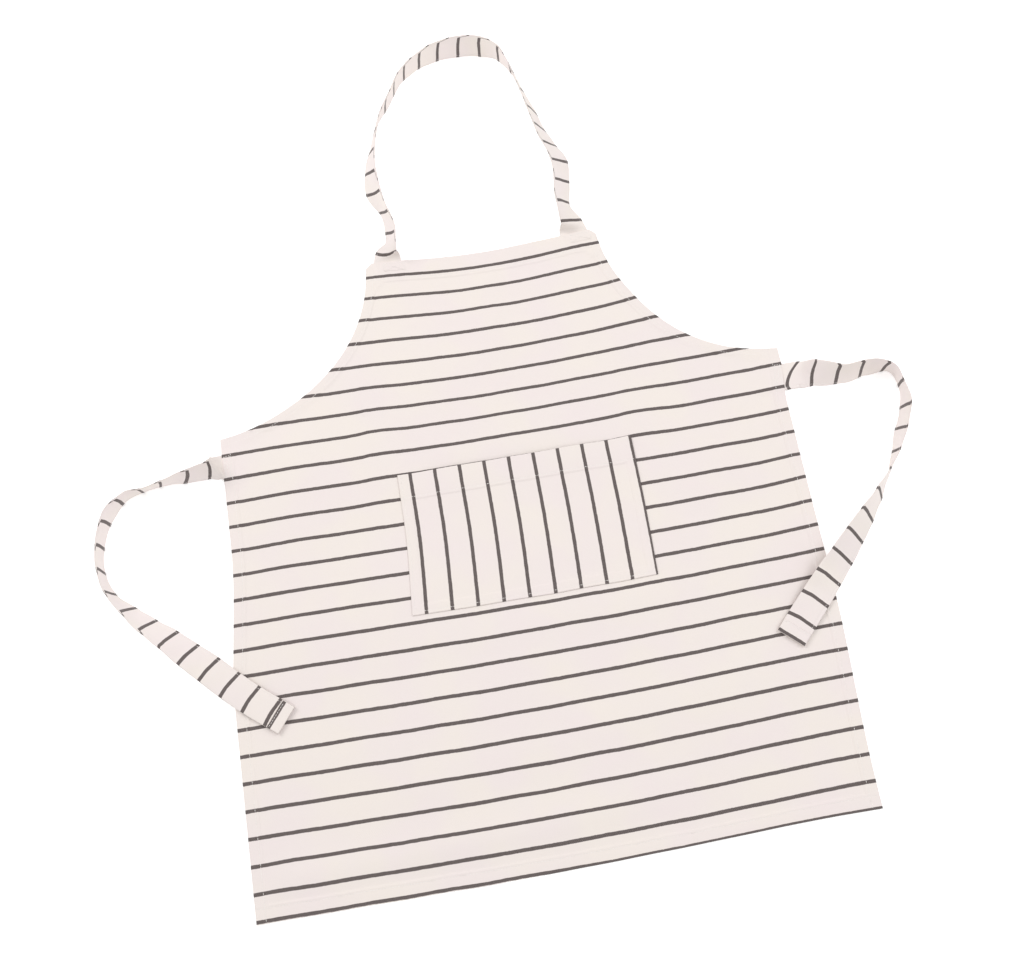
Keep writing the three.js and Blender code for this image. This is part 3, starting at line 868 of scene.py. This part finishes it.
# Stations of each strap's middle: x, y, lean from flat in degrees, height of its lower edge, and how
# far its stripes run off square, as a share of the strap's width.
NECK = (
    (-106, 357.9, 6, 0, -0.1), (-106, 362.9, 30, 0, -0.2), (-97, 382, 64, 0, -0.42),
    (-101, 418, 77, 2, -0.56), (-110, 449, 55, 6, -0.43), (-108, 482, 63, 8, -0.2),
    (-100, 512, 71, 6, -0.03), (-90, 544, 77, 4, 0.03), (-73, 572, 83, 3, 0.07), (-57, 600, 84, 2, 0.07),
    (-37, 619, 87, 0, 0.13), (-9, 632, 95, 0, 0.2), (22, 636, 102, 0, 0.16), (48, 632, 101, 0, 0.0),
    (70, 617, 89, 2, 0.0), (82, 592, 79, 2, 0.2), (90, 562, 72, 1, 0.22), (98, 532, 64, 0, 0),
    (103, 504, 60, 2, -0.05), (110, 478, 52, 4, -0.09), (119, 451, 44, 6, 0.13), (118, 422, 53, 3, 0.31),
    (114, 393, 56, 0, 0.25), (121, 362.9, 28, 0, 0.07), (121, 357.9, 0, 0, 0),
)
OVER = 3.3  # height at which a tie lies on the skirt
LEFT_TIE = (
    (-326.5, 127, 5, 0, -0.1), (-333, 124, 60, 0, -0.2), (-342.9, 122.5, 76, 0, -0.3),
    (-365, 119.5, 84, 0, -0.3), (-388, 117, 100, 0, -0.3), (-411, 113, 104, 0, -0.1),
    (-433, 109, 96, 0, 0.08), (-454, 90, 88, 0, 0.15), (-465, 61, 92, 0, 0.1), (-467, 30, 92, 0, 0.07),
    (-458, 0, 83, 0, 0.05), (-439, -23, 64, 0, 0.03), (-420, -43, 50, 0, 0), (-400, -61, 38, 1.5, 0),
    (-381, -80, 26, 2.4, 0), (-362, -98, 14, OVER, 0), (-342, -118, 5, OVER, 0), (-319, -139, 0, OVER, 0),
    (-284, -167, 0, OVER, 0),
)
RIGHT_TIE = (
    (342.9, 127, 0, 0, -0.06), (362, 120, 51, 0, 0), (390, 113, 72, 0, 0.03), (418, 116, 78, 0, 0.08),
    (444, 110, 98, 0, 0.12), (449, 90, 98, 0, 0.16), (447, 64, 83, 0, 0.2), (435, 38, 78, 0, 0.25),
    (422, 12, 86, 0, 0.25), (406, -13, 100, 0, 0.1), (388, -36, 114, 0.2, 0.03),
    (370, -56, 128, 0.8, 0.03), (351, -76, 140, 1.6, 0.03), (332, -96, 150, 2.4, 0.03),
    (315, -113, 160, OVER, 0.03), (298, -131, 172, OVER, 0.03), (273, -157, 180, OVER, 0.03),
    (260, -171, 180, OVER, 0.03),
)


STRAP_STEP = 2.2  # spacing of the rings along a strap
ROLLS_FROM, ROLLS_OVER = 36, 10  # lean at which the far layer begins to show, and degrees until it does
KNEE = 1.6  # stripes bow a little about the strap's lengthwise crease

# Where a stripe crosses each strap's upper face and its other face, along from its first station.
NECK_PHASE = (3.8, -8.9)
LEFT_PHASE = (7.5, 13.0)
RIGHT_PHASE = (-14.5, -16.3)

# How far the cloth is drawn along each strap: places along it from its first station, and the shift there.
NECK_EASE = ((0, 200, 800), (0, 0, 18.6))
LEFT_EASE = ((-14, 0, 8, 36, 64, 90, 95), (8, -6, -6, -3.2, -8, -1, 0))
RIGHT_EASE = ((0, 800), (0, 0))


def catmull(points, per_span):
    """A smooth line through stations, with the station number at each step."""
    p = np.asarray(points, float)
    p = np.vstack([2 * p[0] - p[1], p, 2 * p[-1] - p[-2]])
    line = []
    number = []
    for i in range(1, len(p) - 2):
        gaps = [max(np.linalg.norm(p[i + k + 1, :2] - p[i + k, :2]) ** 0.5, 1e-6) for k in (-1, 0, 1)]
        t0, t1 = 0.0, gaps[0]
        t2, t3 = t1 + gaps[1], t1 + gaps[1] + gaps[2]
        for t in np.linspace(t1, t2, per_span, endpoint=False):
            a1 = (t1 - t) / (t1 - t0) * p[i - 1] + (t - t0) / (t1 - t0) * p[i]
            a2 = (t2 - t) / (t2 - t1) * p[i] + (t - t1) / (t2 - t1) * p[i + 1]
            a3 = (t3 - t) / (t3 - t2) * p[i + 1] + (t - t2) / (t3 - t2) * p[i + 2]
            b1 = (t2 - t) / (t2 - t0) * a1 + (t - t0) / (t2 - t0) * a2
            b2 = (t3 - t) / (t3 - t1) * a2 + (t - t1) / (t3 - t1) * a3
            line.append((t2 - t) / (t2 - t1) * b1 + (t - t1) / (t2 - t1) * b2)
            number.append(i - 1 + (t - t1) / (t2 - t1))
    line.append(p[-2])
    number.append(len(points) - 1)
    return np.array(line), np.array(number)


def strap_section():
    """Points round a folded strap, as shares of its width and thickness. One long edge is a fold and
    the other is two folded edges that meet, with a line of stitches beside it."""
    across = [-0.5, -0.47, -0.44, -0.42, -0.40, -0.37, -0.3, -0.15, 0.0, 0.15, 0.3, 0.42, 0.47]
    face = [0.36, 0.5, 0.42, 0.28, 0.42, 0.5, 0.48, 0.44, 0.42, 0.44, 0.5, 0.48, 0.36]
    top = list(zip(across, face))
    fold = [(0.492, 0.2), (0.5, 0.0), (0.492, -0.2)]
    under = [(u, -v) for u, v in reversed(top)]
    seam = [(-0.512, -0.2), (-0.492, 0.0), (-0.512, 0.2)]
    return np.array(top + fold + under + seam)


def sweep_strap(name, before, stations, raised, after, phases, root, ease, ripple_seed):
    """A folded strap along stations. before and after are extra flat points for its sewn-in ends, raised
    is 1 or -1 for the side of it that stands up, and root is the length over which it turns up."""
    rows = np.array(stations, float)
    line, number = catmull(rows[:, :2], 14)
    whole = np.floor(np.minimum(number, len(rows) - 1.0001)).astype(int)
    share = smooth(number - whole)
    lean = rows[whole, 2] + (rows[whole + 1, 2] - rows[whole, 2]) * share
    low = rows[whole, 3] + (rows[whole + 1, 3] - rows[whole, 3]) * share
    slant = rows[whole, 4] + (rows[whole + 1, 4] - rows[whole, 4]) * share
    data = np.column_stack([line, np.radians(lean), low, slant])
    sewn_length = np.linalg.norm(line[0] - before[0])
    data = np.vstack([np.column_stack([before, np.zeros((len(before), 3))]), data])
    if len(after):
        data = np.vstack([data, np.column_stack([after, np.zeros((len(after), 3))])])
    steps = np.linalg.norm(np.diff(data[:, :2], axis=0), axis=1)
    along = np.concatenate([[0], np.cumsum(steps)])
    count = int(round(along[-1] / STRAP_STEP)) + 1
    s = np.linspace(0, along[-1], count)
    x, y, lean, low, slant = (np.interp(s, along, data[:, k]) for k in range(5))
    forward = unit(np.column_stack([np.gradient(x, s), np.gradient(y, s), np.zeros(count)]))
    flat = np.column_stack([forward[:, 1], -forward[:, 0], np.zeros(count)]) * raised
    across = flat * np.cos(lean)[:, None] + UP * np.sin(lean)[:, None]
    out = unit(np.cross(forward, across)) * raised
    base = REST + low + STRAP_THICK / 2 * np.abs(np.cos(lean))
    height = base + STRAP_WIDTH / 2 * np.abs(np.sin(lean))
    middle = np.column_stack([x, y, height])

    section = strap_section()
    u = section[:, 0] * STRAP_WIDTH
    v = section[:, 1] * STRAP_THICK
    calm = smooth(s / 30) * smooth((s[-1] - s) / 30)
    bow = 0.9 * np.sin(s / 47 + ripple_seed) * calm
    edge_wave = waves(s, s * 0, 26, ripple_seed + 40) * 0.35 * calm
    seam_pull = waves(s, s * 0, 8, ripple_seed + 60) * 0.12 * calm
    arch = 1 - (2 * section[:, 0]) ** 2
    push = bow[:, None] * arch[None, :] + edge_wave[:, None] * (2 * section[:, 0][None, :]) ** 3
    near_seam = bump(section[:, 0] + 0.46, 0.09)
    push = push + seam_pull[:, None] * near_seam[None, :]
    pushed = (v[None, :] + push)[..., None]
    rings = middle[:, None] + across[:, None] * u[None, :, None] + out[:, None] * pushed
    upper = section[:, 1] < -0.1
    rolled = section[:, 0] > 0.45
    # Where the strap stands up, its far layer rolls over the raised edge by a thread or two.
    steep = np.degrees(np.arcsin(np.abs(np.sin(lean))))
    standing = np.clip((steep - ROLLS_FROM) / ROLLS_OVER, 0, 1)[:, None]
    phase = np.where(upper, phases[0], phases[1])[None, :]
    far = np.where(upper, phases[1], phases[0])[None, :]
    phase = phase + (far - phase) * standing * rolled[None, :]
    kink = KNEE * (1 - np.abs(section[:, 0] - 0.1) / 0.6)

    # Near a sewn end the strap turns up quickly, so its cloth is measured along the surface there.
    gaps = np.linalg.norm(np.diff(rings, axis=0), axis=2)
    travel = np.vstack([np.zeros(len(u)), np.cumsum(gaps, axis=0)])
    first = np.searchsorted(s, sewn_length + root)
    cloth_length = np.repeat(s[:, None], len(u), axis=1)
    cloth_length[:first] = s[first] - (travel[first] - travel[:first])
    if len(after):
        last = np.searchsorted(s, s[-1] - sewn_length - root)
        cloth_length[last:] = s[last] + (travel[last:] - travel[last])
    cloth_length = cloth_length - sewn_length
    cloth_length = cloth_length + np.interp(cloth_length, *ease)
    length_uv = cloth_length - phase + kink[None, :] - slant[:, None] * u[None, :]
    uv = np.stack([np.broadcast_to(u + 60 * upper, (count, len(u))), length_uv], -1)
    obj = tube_rings(name, rings, uv, strap_cloth)

    # Stitches beside the seam edge, on both faces.
    row = -0.42
    lines = []
    for face in (1, -1):
        lift = 0.28 * STRAP_THICK * face
        shift = bow * (1 - (2 * row) ** 2) + edge_wave * (2 * row) ** 3
        where = middle + across * (row * STRAP_WIDTH) + out * (lift + shift)[:, None]
        lines.append((where[2:-2], out[2:-2] * face))
    thread_piece = stitch_piece(f"{name}_stitches", lines, radius=0.22)
    return obj, thread_piece, s[-1]


def build_straps():
    """Each strap's cloth, its seam stitches and its length."""
    made = {}
    sewn = 16
    before = np.array([[-106, BIB_TOP - sewn], [-106, BIB_TOP - 6]])
    after = np.array([[121, BIB_TOP - 6], [121, BIB_TOP - sewn]])
    made["neck"] = sweep_strap("neck_loop_strap", before, NECK, 1, after, NECK_PHASE, 30, NECK_EASE, 1)
    none = np.zeros((0, 2))
    ties = (
        ("left", -1, 2, LEFT_TIE, LEFT_PHASE, 30, LEFT_EASE, 2),
        ("right", 1, 8, RIGHT_TIE, RIGHT_PHASE, 40, RIGHT_EASE, 3),
    )
    for side, sign, inset, stations, phases, root, ease, ripple_seed in ties:
        before = np.array([[sign * (WAIST_HALF - 26), 127], [sign * (WAIST_HALF - inset), 127]])
        name = f"{side}_waist_tie_strap"
        made[side] = sweep_strap(name, before, stations, -sign, none, phases, root, ease, ripple_seed)
    return made


FLAP = 14.5  # length of a tie's folded-back end
FLAP_HALF = 15.8
FLAP_ROUND = 0.6  # radius of its edges
FLAP_PHASE = {"left": -12.2, "right": -1.5}


def tie_end(side, stations):
    """The folded-back end of a tie, and the stitches across it."""
    end = np.array(stations[-1][:2], float)
    along = unit(end - np.array(stations[-2][:2], float))
    across = np.array([-along[1], along[0]])
    us = np.concatenate([[0.2, 0.5, 1.0], spread(2, FLAP - 2, 1.6), [FLAP - 1, FLAP - 0.4, FLAP]])
    vs = np.concatenate([[-FLAP_HALF, -15.5, -15], spread(-14, 14, 2), [15, 15.5, FLAP_HALF]])
    u, v = np.meshgrid(us, vs, indexing="ij")
    flat_points = end + (-u[..., None]) * along + v[..., None] * across
    top = REST + OVER + STRAP_THICK + 0.65
    height = top + 0.15 * waves(u, v, 12, 70) - 0.3 * bump(u - FLAP + STITCH_IN, 0.9)
    fall = np.clip(np.minimum(np.minimum(u, FLAP - u), FLAP_HALF - np.abs(v)), 0, FLAP_ROUND)
    height = height - (FLAP_ROUND - np.sqrt(FLAP_ROUND**2 - (FLAP_ROUND - fall) ** 2))
    points = np.concatenate([flat_points, height[..., None]], -1)
    uv = np.stack([v, u + FLAP_PHASE[side]], -1)
    fold = grid_sheet(f"{side}_tie_end_fold_cloth", points[:, ::-1], uv[:, ::-1], 0.8, strap_cloth)
    vs = spread(-15, 15, 1.0)
    row = end + (STITCH_IN - FLAP) * along + vs[:, None] * across
    where = np.column_stack([row, np.full(len(vs), top + 0.2)])
    stitches = stitch_piece(f"{side}_tie_end_stitches", [(where, np.tile(UP, (len(vs), 1)))])
    return fold, stitches


# ---- Build and attach ----------------------------------------------------------------------------

STRIPED = "striped_twill"
STRAP = "strap_twill"
SEWING = "sewing_thread"


def attach(obj, body, slot, *nodes):
    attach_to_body(obj, body)
    if nodes:
        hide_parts(*nodes)


body_obj = build_body()
attach(body_obj, "apron", STRIPED, "body_panel")
hems = build_hems()
for node, piece in hems:
    attach(piece, "apron", STRIPED, node)
pocket = build_pocket()
attach(pocket, "apron", STRIPED, "pocket_panel")
attach(build_mouth_hem(), "apron", STRIPED, "pocket_mouth_hem")
attach(build_turned_edges(), "apron", STRIPED)
for node, piece in build_seams() + build_tacks():
    attach(piece, "apron", SEWING, node)

straps = build_straps()
# For each strap: its body, where its seam starts and how far it bends there, and the nodes it stands for.
joins = {
    "neck": ("neck_loop", (0, 355.5), (0, 40), ("neck_strap", "neck_strap_end_left", "neck_strap_end_right")),
    "left": ("left_waist_tie", (-325.5, 127), (-29, -38), ("left_tie", "left_tie_sewn_end")),
    "right": ("right_waist_tie", (325.5, 127), (29, -38), ("right_tie", "right_tie_sewn_end")),
}
for key, (body, start, reach, nodes) in joins.items():
    strap, strap_thread = straps[key][:2]
    for piece, slot in ((strap, STRAP), (strap_thread, SEWING)):
        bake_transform(piece)
    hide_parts(*nodes)
for side, stations in (("left", LEFT_TIE), ("right", RIGHT_TIE)):
    fold, stitches = tie_end(side, stations)
    attach(fold, f"{side}_waist_tie", STRAP, f"{side}_tie_end_fold")
    attach(stitches, f"{side}_waist_tie", SEWING, f"{side}_tie_end_thread")

# ---- Each strap's pieces and length, unpacked ----------------------------------------------------

for key in ("neck", "left", "right"):
    strap, strap_thread, length = straps[key]

# ---- Floor, light and camera ---------------------------------------------------------------------


def build_floor():
    mesh = bpy.data.meshes.new("floor")
    reach = 6.0
    corners = [(-reach, -reach, 0), (reach, -reach, 0), (reach, reach, 0), (-reach, reach, 0)]
    mesh.from_pydata(corners, [], [(0, 1, 2, 3)])
    floor = bpy.data.objects.new("floor", mesh)
    bpy.context.scene.collection.objects.link(floor)
    n = Nodes("floor_white")
    place = n.add("ShaderNodeTexCoord").outputs["Object"]
    tone = n.noise(place, 3.0, 2.0)
    colour = n.mix(tone, (0.93, 0.93, 0.93, 1), (0.95, 0.95, 0.95, 1))
    n.plug(colour, n.shader.inputs["Base Color"])
    n.shader.inputs["Roughness"].default_value = 0.9
    n.shader.inputs["Specular IOR Level"].default_value = 0.1
    n.shader.inputs["Emission Color"].default_value = (1, 1, 1, 1)
    n.shader.inputs["Emission Strength"].default_value = 0.32
    mesh.materials.append(n.material)


def area_light(name, place, aim, size, power, colour):
    light = bpy.data.lights.new(name, "AREA")
    light.shape = "DISK"
    light.size = size
    light.energy = power
    light.color = colour
    obj = bpy.data.objects.new(name, light)
    bpy.context.scene.collection.objects.link(obj)
    obj.location = place
    obj.rotation_euler = (Vector(aim) - Vector(place)).to_track_quat("-Z", "Y").to_euler()


def build_world():
    world = bpy.data.worlds.new("studio")
    bpy.context.scene.world = world
    world.use_nodes = True
    background = world.node_tree.nodes["Background"]
    background.inputs[0].default_value = (1.0, 1.0, 1.0, 1)
    background.inputs[1].default_value = 0.69


def build_camera():
    data = bpy.data.cameras.new("camera")
    data.lens = 42.8
    data.sensor_width = 36
    data.clip_start = 0.05
    data.clip_end = 50
    camera = bpy.data.objects.new("camera", data)
    bpy.context.scene.collection.objects.link(camera)
    place = Vector((-0.0466, -0.3687, 1.2859))
    aim = Vector((-0.0108, 0.0632, 0.0))
    turn = (aim - place).to_track_quat("-Z", "Y").to_matrix().to_4x4()
    roll = Matrix.Rotation(math.radians(-4.96), 4, "Z")
    camera.matrix_world = Matrix.Translation(place) @ turn @ roll
    bpy.context.scene.camera = camera


build_floor()
build_world()
area_light("left_soft", (-1.6, 1.3, 1.9), (0, 0.1, 0), 1.4, 25, (1.0, 0.985, 0.97))
area_light("right_soft", (1.8, 0.6, 2.1), (0, 0.1, 0), 1.6, 20, (0.99, 0.99, 1.0))
area_light("near_soft", (0.5, -1.9, 1.9), (0, -0.1, 0), 1.6, 8, (1.0, 0.99, 0.98))
build_camera()
bpy.context.scene.view_settings.view_transform = "Standard"
bpy.context.scene.view_settings.look = "None"
